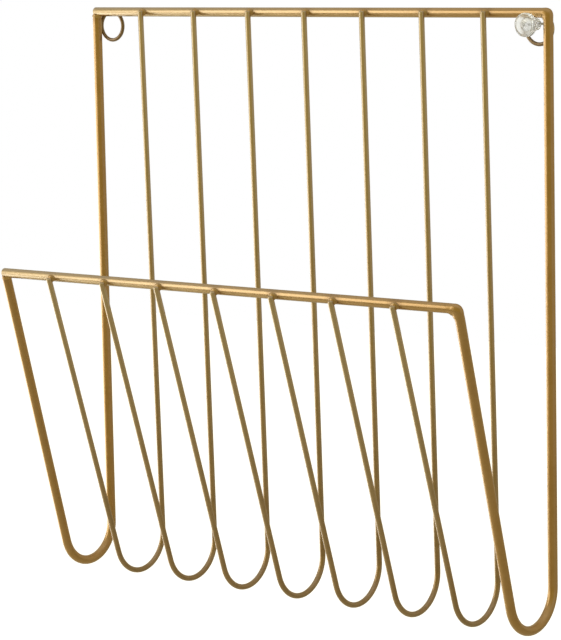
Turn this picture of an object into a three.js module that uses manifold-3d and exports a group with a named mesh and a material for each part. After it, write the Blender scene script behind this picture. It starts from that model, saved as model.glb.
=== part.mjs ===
// A wall magazine rack of bent and welded brass-coloured wire, with two hanging rings and a clear wall
// pin in the right one. Millimetres. X runs along the wall, +Y into the wall and +Z up. The wall is the
// plane y = 0, and the origin lies on it, midway between the centres of the two hanging rings.
import * as THREE from 'three';
import { mergeVertices } from 'three/addons/utils/BufferGeometryUtils.js';
import Module from 'manifold-3d';

const wasm = await Module();
wasm.setup();

// The frame: side wires and rails of the same wire
const frameWire = 5;
const rackWidth = 300; // centre to centre of the side wires
const backHeight = 306; // back rail down to the lowest point of the side wires, centre to centre
const pocketDepth = 78.5; // front rail in front of the back rail
const frontDrop = 137.5; // front rail below the back rail
const sideBendRadius = 19;
const cornerRadius = 3; // the two tight bends where the rails run into the right side
const railOverhang = 1.1; // how far the rails run past the middle of the left side wire

// The ribs: thinner wires, lapped on the front of both rails
const ribWire = 3;
const ribCount = 7;
const ribEndGap = 36; // side wire to the nearest rib, centre to centre
const ribBendRadius = 19;
const ribBottomDrop = 2; // how far the ribs hang below the side wires
const ribTipRise = 0.9; // how far a rib's cut end stands above the rail's centre

// The hanging rings, right behind the rail and the side wire at the two upper corners
const ringWire = 2;
const ringRadius = 7.8; // to the middle of the wire

// The wall pin in the right ring. The back rail rests on its shank.
const pinInset = 2.3; // from the ring's middle towards the middle of the rack
const pinHeadDiameter = 12;
const pinHeadThickness = 3.5;
const pinHeadRounding = 1.1;
const pinHeadGap = 0.5; // head to the front of the frame wire
const pinShankDiameter = 6;
const pinPlay = 0.25; // shank to the rail that rests on it
const spikeDiameter = 1.2;
const spikeReach = 10; // into the wall
const spikeGrip = 7; // inside the shank
const spikeTip = 2.5;
const spikeFit = 0.15;

// Clearances: wire to wire where they are welded, and weld bead to wire
const seatGap = 0.2;
const weldGap = 0.2;

// Weld beads: half their length, half their height, and their reach from the joint
const ribBeadHalfLength = 2.6;
const ribBeadHalfHeight = 2.4;
const ribBeadReach = 1.7;
const cornerBeadHalfHeight = 1.5; // along the side wire
const cornerBeadOverhang = 0.55; // past the surface of the side wire
const ringBeadHalfLength = 2.4;
const ringBeadRadius = 1.25;
const ringBeadOffset = 0.95; // from the line where ring and rail come closest, into the groove

// Facets
const wireSides = 12;
const ringSides = 8;
const ringSegments = 28;
const bendSegments = 14;
const cornerSegments = 6;
const beadSides = 12;
const beadRings = 8;
const pinSegments = 24;
const pinRoundingSegments = 4;

// Where the centrelines lie
const ringY = -ringWire / 2;
const ringSeat = (frameWire + ringWire) / 2 + seatGap;
const frameY = ringY - ringSeat;
const railZ = ringRadius;
const sideX = rackWidth / 2;
const frontRailY = frameY - pocketDepth;
const frontRailZ = railZ - frontDrop;
const railLeftEnd = -sideX - railOverhang;
const ribLap = (frameWire + ribWire) / 2 + seatGap;
const ribPitch = (rackWidth - 2 * ribEndGap) / (ribCount - 1);
const ringX = sideX - ringRadius;
const cutFrameWire = frameWire + 2 * weldGap;
const cutRibWire = ribWire + 2 * weldGap;
const cutReach = 3 * frameWire; // long enough for a cut to pass right through a bead
const pinX = ringX - pinInset;
const pinZ = railZ - frameWire / 2 - pinPlay - pinShankDiameter / 2;

// A point of a wire's centreline, with the direction in which the wire runs there.
function station(point, direction) {
  return { point, direction: direction.clone().normalize() };
}

// A wire's centreline, given as stations: straight between two of them, or a step of a bend.
class WirePath extends THREE.Curve {
  constructor(stations) {
    super();
    this.stations = stations;
  }

  at(u) {
    return this.stations[Math.round(u * (this.stations.length - 1))];
  }

  getPointAt(u) {
    return this.at(u).point.clone();
  }

  getTangentAt(u) {
    return this.at(u).direction.clone();
  }
}

// A round wire's section with this many flats, as far apart as the wire is thick.
function wireSection(diameter, sides) {
  const corner = diameter / 2 / Math.cos(Math.PI / sides);
  const corners = [];
  for (let i = 0; i < sides; i += 1) {
    const angle = ((i + 0.5) * 2 * Math.PI) / sides;
    corners.push(new THREE.Vector2(corner * Math.cos(angle), corner * Math.sin(angle)));
  }
  return corners;
}

function wireAlong(stations, diameter) {
  return new THREE.ExtrudeGeometry(new THREE.Shape(wireSection(diameter, wireSides)), {
    steps: stations.length - 1,
    extrudePath: new WirePath(stations),
  });
}

function straightWire(from, to, diameter) {
  const direction = to.clone().sub(from);
  return wireAlong([station(from, direction), station(to, direction)], diameter);
}

// A bend: stations on an arc about centre, from the arm start and turning towards the arm side.
function bend(centre, start, side, angle, segments) {
  const stations = [];
  for (let i = 0; i <= segments; i += 1) {
    const turned = (angle * i) / segments;
    const arm = start.clone().multiplyScalar(Math.cos(turned));
    arm.addScaledVector(side, Math.sin(turned));
    const direction = side.clone().multiplyScalar(Math.cos(turned));
    direction.addScaledVector(start, -Math.sin(turned));
    stations.push(station(centre.clone().add(arm), direction));
  }
  return stations;
}

// The straight line, in the side view, that leaves one circle and meets the next. Each reach is
// the circle's radius, counted to the left of the line's direction, and may be negative or zero.
function tangentLine(from, fromReach, to, toReach) {
  const span = to.clone().sub(from);
  const heading = Math.atan2(span.y, span.x) - Math.asin((fromReach - toReach) / span.length());
  const direction = new THREE.Vector2(Math.cos(heading), Math.sin(heading));
  const left = new THREE.Vector2(-direction.y, direction.x);
  return {
    direction,
    left,
    start: from.clone().addScaledVector(left, fromReach),
    end: to.clone().addScaledVector(left, toReach),
  };
}

// In the side view, x stands for the rack's Y and y for its Z.
const backRail = new THREE.Vector2(frameY, railZ);
const frontRail = new THREE.Vector2(frontRailY, frontRailZ);

function inSpace(x, sideView) {
  return new THREE.Vector3(x, sideView.x, sideView.y);
}

// The J of a side wire or a rib: two legs tangent to one bend. A leg that laps a rail passes its
// centre at the distance lap, and a side wire's leg points at it.
function sideProfile(bendCentre, bendRadius, lap) {
  const backLeg = tangentLine(backRail, -lap, bendCentre, bendRadius);
  const frontLeg = tangentLine(bendCentre, bendRadius, frontRail, lap);
  return { bendCentre, bendRadius, backLeg, frontLeg };
}

function sideBend(profile, x) {
  const arm = inSpace(0, profile.backLeg.left).multiplyScalar(profile.bendRadius);
  const side = inSpace(0, profile.backLeg.direction).multiplyScalar(profile.bendRadius);
  const turn = profile.backLeg.direction.angleTo(profile.frontLeg.direction);
  return bend(inSpace(x, profile.bendCentre), arm, side, turn, bendSegments);
}

// A whole J at x, with each end this far past the middle of its rail.
function jStations(profile, x, backRise, frontRise) {
  const { backLeg, frontLeg } = profile;
  const top = backLeg.start.clone().addScaledVector(backLeg.direction, -backRise);
  const tip = frontLeg.end.clone().addScaledVector(frontLeg.direction, frontRise);
  return [
    station(inSpace(x, top), inSpace(0, backLeg.direction)),
    ...sideBend(profile, x),
    station(inSpace(x, tip), inSpace(0, frontLeg.direction)),
  ];
}

const sideWireProfile = sideProfile(
  new THREE.Vector2(frameY - sideBendRadius, railZ - backHeight + sideBendRadius),
  sideBendRadius,
  0,
);
const ribProfile = sideProfile(
  new THREE.Vector2(
    -ribWire / 2 - ribBendRadius,
    railZ - backHeight - ribBottomDrop + ribBendRadius,
  ),
  ribBendRadius,
  ribLap,
);

// Back rail, right side and front rail in one piece, bent at the two right corners.
function frameWireStations() {
  const along = new THREE.Vector3(1, 0, 0);
  const down = inSpace(0, sideWireProfile.backLeg.direction);
  const forward = inSpace(0, sideWireProfile.frontLeg.direction);
  const quarter = Math.PI / 2;

  const backCorner = inSpace(sideX, sideWireProfile.backLeg.start);
  const backCentre = backCorner.clone().addScaledVector(down, cornerRadius);
  backCentre.addScaledVector(along, -cornerRadius);
  const up = down.clone().multiplyScalar(-cornerRadius);
  const right = along.clone().multiplyScalar(cornerRadius);

  const frontCorner = inSpace(sideX, sideWireProfile.frontLeg.end);
  const frontCentre = frontCorner.clone().addScaledVector(forward, -cornerRadius);
  frontCentre.addScaledVector(along, -cornerRadius);
  const tip = forward.clone().multiplyScalar(cornerRadius);

  return [
    station(new THREE.Vector3(railLeftEnd, frameY, railZ), along),
    ...bend(backCentre, up, right, quarter, cornerSegments),
    ...sideBend(sideWireProfile, sideX),
    ...bend(frontCentre, right, tip, quarter, cornerSegments),
    station(new THREE.Vector3(railLeftEnd, frontRailY, frontRailZ), along.clone().negate()),
  ];
}

// The line of a rail's wire at the left, long enough for a cut.
function railCut(railCentre, diameter) {
  const middle = inSpace(-sideX, railCentre);
  const along = new THREE.Vector3(cutReach, 0, 0);
  return straightWire(middle.clone().sub(along), middle.clone().add(along), diameter);
}

// Solid modelling: a geometry as a closed solid, and back.
function toSolid(geometry) {
  const bare = geometry.clone();
  bare.deleteAttribute('normal');
  bare.deleteAttribute('uv');
  const merged = mergeVertices(bare, 1e-4);
  return new wasm.Manifold(new wasm.Mesh({
    numProp: 3,
    vertProperties: new Float32Array(merged.attributes.position.array),
    triVerts: new Uint32Array(merged.index.array),
  }));
}

function toGeometry(solid) {
  const { vertProperties, triVerts } = solid.getMesh();
  const geometry = new THREE.BufferGeometry();
  geometry.setAttribute('position', new THREE.BufferAttribute(vertProperties, 3));
  geometry.setIndex(new THREE.BufferAttribute(triVerts, 1));
  geometry.computeVertexNormals();
  return geometry;
}

// A weld bead: a lump at the joint, less the wires that it joins.
function weldBead(centre, halfSizes, tilt, wires) {
  const lump = new THREE.SphereGeometry(1, beadSides, beadRings);
  lump.scale(halfSizes.x, halfSizes.y, halfSizes.z);
  lump.rotateX(tilt);
  lump.translate(centre.x, centre.y, centre.z);
  let bead = toSolid(lump);
  for (const wire of wires) {
    bead = bead.subtract(toSolid(wire));
  }
  return toGeometry(bead);
}

// The bead where a rib at x = 0 laps a rail. The rib's leg passes the rail's centre at lap.
function ribBead(railCentre, legPoint, legDirection) {
  const rail = inSpace(0, railCentre);
  const outward = inSpace(0, legPoint).sub(rail).normalize();
  const along = new THREE.Vector3(cutReach, 0, 0);
  const up = inSpace(0, legDirection);
  const contact = rail.clone().addScaledVector(outward, (frameWire + seatGap) / 2);
  const ribMiddle = inSpace(0, legPoint);
  const ribEnd = ribMiddle.clone().addScaledVector(up, ribTipRise + weldGap);
  const ribStart = ribMiddle.clone().addScaledVector(up, -cutReach);
  return weldBead(
    contact,
    new THREE.Vector3(ribBeadHalfLength, ribBeadReach, ribBeadHalfHeight),
    Math.atan2(-up.y, up.z),
    [
      straightWire(rail.clone().sub(along), rail.clone().add(along), cutFrameWire),
      straightWire(ribStart, ribEnd, cutRibWire),
    ],
  );
}

// The left side wire. Each end is coped: cut to the round of the rail that it butts on from below.
function sideWire() {
  let wire = toSolid(wireAlong(jStations(sideWireProfile, -sideX, 0, 0), frameWire));
  for (const railCentre of [backRail, frontRail]) {
    wire = wire.subtract(toSolid(railCut(railCentre, frameWire + 2 * seatGap)));
  }
  return toGeometry(wire);
}

// The bead round an end of the left side wire, under the rail. The leg comes up in this direction.
function cornerBead(railCentre, legDirection) {
  const middle = inSpace(-sideX, railCentre);
  const up = inSpace(0, legDirection);
  const legStart = middle.clone().addScaledVector(up, -cutReach);
  const halfWidth = frameWire / 2 + cornerBeadOverhang;
  return weldBead(
    middle.clone().addScaledVector(up, -frameWire / 2),
    new THREE.Vector3(halfWidth, halfWidth, cornerBeadHalfHeight),
    Math.atan2(-up.y, up.z),
    [
      railCut(railCentre, cutFrameWire),
      straightWire(legStart, middle, cutFrameWire),
    ],
  );
}

// A ring about the Y axis, with a flat side towards the wall.
function ring(sectionDiameter) {
  const section = wireSection(sectionDiameter, ringSides);
  const profile = section.map((corner) => new THREE.Vector2(ringRadius + corner.x, corner.y));
  profile.push(profile[0].clone());
  return new THREE.LatheGeometry(profile, ringSegments);
}

// The bead in the upper groove between a ring at the origin and the rail in front of its top.
function ringBead() {
  const rail = new THREE.Vector3(0, -ringSeat, ringRadius);
  const groove = rail.clone();
  groove.y += (frameWire + seatGap) / 2;
  groove.z += ringBeadOffset;
  const along = new THREE.Vector3(cutReach, 0, 0);
  return weldBead(
    groove,
    new THREE.Vector3(ringBeadHalfLength, ringBeadRadius, ringBeadRadius),
    0,
    [
      straightWire(rail.clone().sub(along), rail.clone().add(along), cutFrameWire),
      ring(ringWire + 2 * weldGap),
    ],
  );
}

// A quarter round of a turned profile, from one angle to another.
function rounded(radius, height, rounding, fromAngle, toAngle) {
  const points = [];
  for (let i = 0; i <= pinRoundingSegments; i += 1) {
    const angle = fromAngle + ((toAngle - fromAngle) * i) / pinRoundingSegments;
    const x = radius + rounding * Math.cos(angle);
    const y = height + rounding * Math.sin(angle);
    points.push(new THREE.Vector2(x, y));
  }
  return points;
}

// The pin's head and shank, turned about the Y axis, with a blind hole for the spike from the wall.
function pinBody() {
  const headBack = frameY - frameWire / 2 - pinHeadGap;
  const headFront = headBack - pinHeadThickness;
  const rimRadius = pinHeadDiameter / 2 - pinHeadRounding;
  const shankRadius = pinShankDiameter / 2;
  const holeRadius = spikeDiameter / 2 + spikeFit;
  const quarter = Math.PI / 2;
  const profile = [
    new THREE.Vector2(0, headFront),
    ...rounded(rimRadius, headFront + pinHeadRounding, pinHeadRounding, -quarter, 0),
    ...rounded(rimRadius, headBack - pinHeadRounding, pinHeadRounding, 0, quarter),
    new THREE.Vector2(shankRadius, headBack),
    new THREE.Vector2(shankRadius, 0),
    new THREE.Vector2(holeRadius, 0),
    new THREE.Vector2(holeRadius, -spikeGrip - spikeFit),
    new THREE.Vector2(0, -spikeGrip - spikeFit),
  ];
  return new THREE.LatheGeometry(profile, pinSegments);
}

function pinSpike() {
  const radius = spikeDiameter / 2;
  const profile = [
    new THREE.Vector2(0, -spikeGrip),
    new THREE.Vector2(radius, -spikeGrip),
    new THREE.Vector2(radius, spikeReach - spikeTip),
    new THREE.Vector2(0, spikeReach),
  ];
  return new THREE.LatheGeometry(profile, wireSides);
}

// Finishes
const finishes = {
  brass: { color: 0xb98a3e, roughness: 0.34, metalness: 0.9 },
  weld: { color: 0xc79a50, roughness: 0.42, metalness: 0.9 },
  clear: { color: 0xe9eee8, roughness: 0.08, metalness: 0, transparent: true, opacity: 0.45 },
  steel: { color: 0xb9bcc0, roughness: 0.28, metalness: 1 },
};

function piece(name, geometry, finish, place = new THREE.Vector3()) {
  const mesh = new THREE.Mesh(geometry, new THREE.MeshStandardMaterial(finishes[finish]));
  mesh.name = name;
  mesh.position.copy(place);
  return mesh;
}

function buildFrame() {
  const group = new THREE.Group();
  group.add(piece('frame_wire', wireAlong(frameWireStations(), frameWire), 'brass'));
  group.add(piece('left_side_wire', sideWire(), 'brass'));
  const backUp = sideWireProfile.backLeg.direction.clone().negate();
  const frontUp = sideWireProfile.frontLeg.direction;
  group.add(piece('weld_corner_back', cornerBead(backRail, backUp), 'weld'));
  group.add(piece('weld_corner_front', cornerBead(frontRail, frontUp), 'weld'));
  return group;
}

function buildRibs() {
  const group = new THREE.Group();
  const { backLeg, frontLeg } = ribProfile;
  const wire = wireAlong(jStations(ribProfile, 0, ribTipRise, ribTipRise), ribWire);
  const backBead = ribBead(backRail, backLeg.start, backLeg.direction.clone().negate());
  const frontBead = ribBead(frontRail, frontLeg.end, frontLeg.direction);
  for (let i = 0; i < ribCount; i += 1) {
    const place = new THREE.Vector3((i - (ribCount - 1) / 2) * ribPitch, 0, 0);
    group.add(piece(`rib_wire_${i + 1}`, wire.clone(), 'brass', place));
    group.add(piece(`weld_back_${i + 1}`, backBead.clone(), 'weld', place));
    group.add(piece(`weld_front_${i + 1}`, frontBead.clone(), 'weld', place));
  }
  return group;
}

function buildRing(side, sign) {
  const group = new THREE.Group();
  const sideBead = piece(`weld_ring_${side}_side`, ringBead(), 'weld');
  sideBead.rotation.y = (sign * Math.PI) / 2;
  group.add(piece(`hanging_ring_${side}`, ring(ringWire), 'brass'));
  group.add(piece(`weld_ring_${side}_rail`, ringBead(), 'weld'));
  group.add(sideBead);
  group.position.set(sign * ringX, ringY, 0);
  return group;
}

function buildWallPin() {
  const group = new THREE.Group();
  group.add(piece('wall_pin_body', pinBody(), 'clear'));
  group.add(piece('wall_pin_spike', pinSpike(), 'steel'));
  group.position.set(pinX, 0, pinZ);
  return group;
}

const rack = new THREE.Group();
rack.add(buildFrame());
rack.add(buildRibs());
rack.add(buildRing('left', -1));
rack.add(buildRing('right', 1));
rack.add(buildWallPin());

export default rack;
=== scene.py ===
# %% [markdown]
# # A wall magazine rack of bent and welded brass-coloured wire
# The rack is one frame wire, one side wire, seven thinner ribs and two hanging rings, all welded
# together, and a clear wall pin goes with it. Everything is round wire, so the lesson is about
# bending a tube the way a wire bender does, about small welds that flow into what they join, and about
# a satin metal that shows its light in long streaks.
#
# The CAD model is the fixed frame. Each piece here is made where its CAD node is, stands for it, and
# moves with its body.

import math

import bmesh
import bpy
from mathutils import Matrix, Quaternion, Vector


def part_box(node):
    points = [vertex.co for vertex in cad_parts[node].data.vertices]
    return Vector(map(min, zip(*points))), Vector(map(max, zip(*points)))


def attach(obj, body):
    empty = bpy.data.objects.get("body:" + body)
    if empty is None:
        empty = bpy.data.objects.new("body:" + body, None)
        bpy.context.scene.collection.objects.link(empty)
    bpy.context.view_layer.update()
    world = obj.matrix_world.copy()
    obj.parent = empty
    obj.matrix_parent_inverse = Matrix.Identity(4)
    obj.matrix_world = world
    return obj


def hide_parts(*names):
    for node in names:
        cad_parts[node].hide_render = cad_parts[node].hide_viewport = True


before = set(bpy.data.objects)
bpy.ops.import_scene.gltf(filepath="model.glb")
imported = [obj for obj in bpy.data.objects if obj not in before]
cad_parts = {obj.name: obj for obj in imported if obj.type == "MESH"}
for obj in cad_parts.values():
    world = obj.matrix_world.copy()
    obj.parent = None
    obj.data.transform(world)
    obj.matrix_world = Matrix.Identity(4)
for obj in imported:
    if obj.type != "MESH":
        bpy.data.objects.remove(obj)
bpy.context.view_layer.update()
MM = 0.001

# %% [markdown]
# ## The camera
# The photograph was taken with a long lens from the right of the rack and a little above its middle, so
# that the rack's left side is only slightly smaller than its right. The two angles, the small tilt of
# the horizon, the distance and the lens were fitted to the wires' centrelines.
#
# A camera could be aimed by hand until it looks right. Aiming it by numbers keeps it the same at each
# run, and the numbers say something: how far round, how far up, how far away.

# %% Aim the camera
CAMERA_ROUND = math.radians(39.212)
CAMERA_UP = math.radians(7.585)
CAMERA_ROLL = math.radians(-1.174)
CAMERA_DISTANCE = 1520.49 * MM
CAMERA_AIM = Vector((5.727, -40.243, -149.821)) * MM
LENS_MM = 164.87
SENSOR_MM = 36

sight = Vector((
    -math.sin(CAMERA_ROUND) * math.cos(CAMERA_UP),
    math.cos(CAMERA_ROUND) * math.cos(CAMERA_UP),
    -math.sin(CAMERA_UP),
))
camera_data = bpy.data.cameras.new("camera")
camera_data.lens = LENS_MM
camera_data.sensor_width = SENSOR_MM
camera_data.sensor_fit = "AUTO"
camera = bpy.data.objects.new("camera", camera_data)
bpy.context.scene.collection.objects.link(camera)
camera.location = CAMERA_AIM - sight * CAMERA_DISTANCE
camera.rotation_mode = "QUATERNION"
camera.rotation_quaternion = sight.to_track_quat("-Z", "Y") @ Quaternion((0, 0, 1), CAMERA_ROLL)
bpy.context.scene.camera = camera

print("camera stands at", [round(value / MM) for value in camera.location], "mm")

# %% [markdown]
# ## The studio
# The photograph is cut out on white, so white is what the camera sees all round, and it is also what
# the clear pin lets through. What shapes a metal is what it reflects. Here two soft boxes hang at the
# left: a tall one in front, which lies along the rails as a pale streak, and a broad one beside the
# rack, which edges the upright wires. All else is a dim, warm room with a slightly paler ceiling, and
# it leaves those wires deep bronze in the middle.
#
# One evenly white world would be simpler, but then every wire would be flat yellow from edge to edge.
# So the world and the floor are white for the camera and for light that passes through the pin, and
# warm mid tones for everything that they light.

# %% Small helpers for shader nodes
def add_node(tree, kind, inputs=None, **settings):
    """Adds a node, sets its properties, and fills or links its inputs by name or number."""
    node = tree.nodes.new(kind)
    for name, value in settings.items():
        setattr(node, name, value)
    for name, value in (inputs or {}).items():
        if isinstance(value, bpy.types.NodeSocket):
            tree.links.new(value, node.inputs[name])
        else:
            node.inputs[name].default_value = value
    return node


def add_mix(tree, amount, first, second):
    """A colour mix: all of the first colour at 0, all of the second at 1. Returns its output."""
    node = tree.nodes.new("ShaderNodeMix")
    node.data_type = "RGBA"
    for socket, value in ((0, amount), (6, first), (7, second)):
        if isinstance(value, bpy.types.NodeSocket):
            tree.links.new(value, node.inputs[socket])
        else:
            node.inputs[socket].default_value = value
    return node.outputs[2]


def add_ramp(tree, value, start, end):
    """A smooth step from 0 at start to 1 at end. Returns its output."""
    return add_node(tree, "ShaderNodeMapRange", {
        "Value": value, "From Min": start, "From Max": end,
    }, interpolation_type="SMOOTHSTEP").outputs[0]


def looked_at(tree):
    """1 where the camera looks, straight or through the clear pin, and 0 for light and reflections."""
    light_path = add_node(tree, "ShaderNodeLightPath")
    return add_node(tree, "ShaderNodeMath", {
        0: light_path.outputs["Is Camera Ray"], 1: light_path.outputs["Is Transmission Ray"],
    }, operation="MAXIMUM").outputs[0]


# %% The world: white to look at, a dim room to reflect
ROOM_IN_FRONT = (0.40, 0.335, 0.125, 1)
ROOM_AT_THE_SIDES = (0.44, 0.43, 0.40, 1)
CEILING = (0.57, 0.55, 0.50, 1)
WALL_BEHIND = (0.42, 0.37, 0.25, 1)
WHITE = (1, 1, 1, 1)
SIDES_START = (-0.6, 0.1)
CEILING_STARTS = (0.4, 0.9)
WALL_STARTS = (0.1, 0.6)

world = bpy.data.worlds.new("studio")
bpy.context.scene.world = world
world.use_nodes = True
tree = world.node_tree
tree.nodes.clear()
direction = add_node(tree, "ShaderNodeTexCoord").outputs["Generated"]
parts = add_node(tree, "ShaderNodeSeparateXYZ", {0: direction})
to_the_sides = add_ramp(tree, parts.outputs["Y"], *SIDES_START)
behind_the_rack = add_ramp(tree, parts.outputs["Y"], *WALL_STARTS)
overhead = add_ramp(tree, parts.outputs["Z"], *CEILING_STARTS)
room = add_mix(tree, to_the_sides, ROOM_IN_FRONT, ROOM_AT_THE_SIDES)
room = add_mix(tree, overhead, room, CEILING)
room = add_mix(tree, behind_the_rack, room, WALL_BEHIND)
shown = add_mix(tree, looked_at(tree), room, WHITE)
background = add_node(tree, "ShaderNodeBackground", {"Color": shown, "Strength": 1.0})
add_node(tree, "ShaderNodeOutputWorld", {"Surface": background.outputs[0]})
print("world", world.name, "has", len(tree.nodes), "nodes")

bpy.context.scene.view_settings.view_transform = "Standard"

# %% The floor: pale, far below, and it keeps the shadow
FLOOR_BELOW = 1.2
FLOOR_SIZE = 12.0
FLOOR_CELLS = 4
FLOOR_PAINT = (0.66, 0.62, 0.47, 1)
FLOOR_GLOW = 0.92

paint = bpy.data.materials.new("pale_floor")
paint.use_nodes = True
tree = paint.node_tree
tree.nodes.clear()
matt = add_node(tree, "ShaderNodeBsdfDiffuse", {"Color": FLOOR_PAINT})
glow = add_node(tree, "ShaderNodeEmission", {"Color": WHITE, "Strength": FLOOR_GLOW})
lit = add_node(tree, "ShaderNodeAddShader", {0: matt.outputs[0], 1: glow.outputs[0]})
either = add_node(tree, "ShaderNodeMixShader", {
    0: looked_at(tree), 1: matt.outputs[0], 2: lit.outputs[0],
})
add_node(tree, "ShaderNodeOutputMaterial", {"Surface": either.outputs[0]})

floor_mesh = bmesh.new()
bmesh.ops.create_grid(
    floor_mesh, x_segments=FLOOR_CELLS, y_segments=FLOOR_CELLS, size=FLOOR_SIZE / 2,
    matrix=Matrix.Translation((0, 0, -FLOOR_BELOW)),
)
floor_data = bpy.data.meshes.new("floor")
floor_mesh.to_mesh(floor_data)
floor_mesh.free()
floor_data.materials.append(paint)
floor = bpy.data.objects.new("floor", floor_data)
bpy.context.scene.collection.objects.link(floor)
print("floor:", len(floor_data.polygons), "faces,", FLOOR_BELOW, "m below the rings")

# %% Lamps: where they hang, and how bright their cloth looks
def soft_box(name, azimuth, elevation, distance, width, height, brightness, colour):
    """An area lamp aimed at the rack's middle. Brightness is what a mirror would show of its cloth."""
    azimuth = math.radians(azimuth)
    elevation = math.radians(elevation)
    out = Vector((
        math.sin(azimuth) * math.cos(elevation),
        -math.cos(azimuth) * math.cos(elevation),
        math.sin(elevation),
    ))
    data = bpy.data.lights.new(name, "AREA")
    data.shape = "RECTANGLE"
    data.size = width
    data.size_y = height
    data.energy = brightness * math.pi * width * height
    data.color = colour
    lamp = bpy.data.objects.new(name, data)
    bpy.context.scene.collection.objects.link(lamp)
    lamp.location = CAMERA_AIM + out * distance
    lamp.rotation_mode = "QUATERNION"
    lamp.rotation_quaternion = (-out).to_track_quat("-Z", "Y")
    lamp.visible_camera = False
    print(name, "hangs at", [round(value, 2) for value in lamp.location], "m")


soft_box(
    "left_front_soft_box", azimuth=-46, elevation=15, distance=2.3,
    width=1.2, height=1.8, brightness=1.5, colour=(0.99, 1.0, 1.08),
)
soft_box(
    "left_soft_box", azimuth=-92, elevation=-13, distance=1.8,
    width=1.8, height=1.1, brightness=1.8, colour=(0.97, 1.0, 1.06),
)

# %% [markdown]
# ## The drawing
# These are the rack's driving sizes, as on the maker's drawing, and the places that follow from them.
# The side view is the important one: each J is two straight legs that touch one bend, and a rib's legs
# pass the rails at a small distance, while a side wire's legs point at their middles.
#
# The numbers could be read off the CAD boxes one by one. Working them out again from the same few
# sizes gives the exact lines of the legs, and the boxes then serve as the check.

# %% Sizes and places
FRAME_WIRE = 5 * MM
RIB_WIRE = 3 * MM
RING_WIRE = 2 * MM
RACK_WIDTH = 300 * MM
BACK_HEIGHT = 306 * MM
POCKET_DEPTH = 78.5 * MM
FRONT_DROP = 137.5 * MM
BEND_RADIUS = 19 * MM
RAIL_OVERHANG = 1.1 * MM
CORNER_RADIUS = 3 * MM
BACK_GATHERING = 1.1 * MM
FRONT_GATHERING = 3.6 * MM
BACK_FULLNESS = 0.9 * MM
FRONT_FULLNESS = 0.7 * MM
RIB_PITCH = 38 * MM
RIB_COUNT = 7
RIB_DROP = 2 * MM
RIB_TIP_RISE = 0.9 * MM
RING_RADIUS = 7.8 * MM
SEAT_GAP = 0.2 * MM
ALONG = Vector((1, 0, 0))
INTO_WALL = Vector((0, 1, 0))

side_x = RACK_WIDTH / 2
ring_y = -RING_WIRE / 2
ring_seat = (FRAME_WIRE + RING_WIRE) / 2 + SEAT_GAP
frame_y = ring_y - ring_seat
rail_z = RING_RADIUS
ring_x = side_x - RING_RADIUS
rail_left_end = -side_x - RAIL_OVERHANG
rib_lap = (FRAME_WIRE + RIB_WIRE) / 2 + SEAT_GAP
back_rail = Vector((frame_y, rail_z))
front_rail = Vector((frame_y - POCKET_DEPTH, rail_z - FRONT_DROP))

print("back rail at y, z =", [round(value / MM, 2) for value in back_rail], "mm")
print("front rail at y, z =", [round(value / MM, 2) for value in front_rail], "mm")


# %% The side view of a J: two legs and one bend
def touching_line(start, start_reach, end, end_reach):
    """The line that passes two points of the side view at the given distances to its left."""
    span = end - start
    heading = math.atan2(span.y, span.x) - math.asin((start_reach - end_reach) / span.length)
    along = Vector((math.cos(heading), math.sin(heading)))
    left = Vector((-along.y, along.x))
    return along, start + left * start_reach, end + left * end_reach


def side_view(bend_middle, bend_radius, lap):
    """A J's legs: the down leg passes the back rail, the up leg the front rail, at the same lap."""
    down, back_top, bend_start = touching_line(back_rail, -lap, bend_middle, bend_radius)
    up, bend_end, front_tip = touching_line(bend_middle, bend_radius, front_rail, lap)
    return {
        "down": Vector((0, down.x, down.y)),
        "up": Vector((0, up.x, up.y)),
        "back_top": Vector((0, back_top.x, back_top.y)),
        "front_tip": Vector((0, front_tip.x, front_tip.y)),
        "back_leg": (bend_start - back_top).length,
        "front_leg": (front_tip - bend_end).length,
        "turn": down.angle(up),
        "radius": bend_radius,
    }


side_bend_middle = Vector((frame_y - BEND_RADIUS, rail_z - BACK_HEIGHT + BEND_RADIUS))
rib_bend_middle = Vector((
    -RIB_WIRE / 2 - BEND_RADIUS,
    rail_z - BACK_HEIGHT - RIB_DROP + BEND_RADIUS,
))
side_j = side_view(side_bend_middle, BEND_RADIUS, 0)
rib_j = side_view(rib_bend_middle, BEND_RADIUS, rib_lap)
for label, j in (("side wire", side_j), ("rib", rib_j)):
    legs = (round(j["back_leg"] / MM, 1), round(j["front_leg"] / MM, 1))
    print(f"{label}: legs {legs} mm, turned through {math.degrees(j['turn']):.1f} degrees")

# %% [markdown]
# ## Bending wire
# Real wire is fed forward, bent about a round former, and fed again, and it comes out with its section
# unchanged. A curve object with a bevel would give the same tube, but its ends would stay open or
# sharp and its section can twist in the corners.
#
# Here the open rim of the tube is the wire's front end. Feeding extrudes the rim and moves it on.
# Bending spins it about the former's axis, a step at a time. Each point also keeps where it was on the
# straight wire, because the die that drew the wire left its lines there, and they bend with it.

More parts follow.
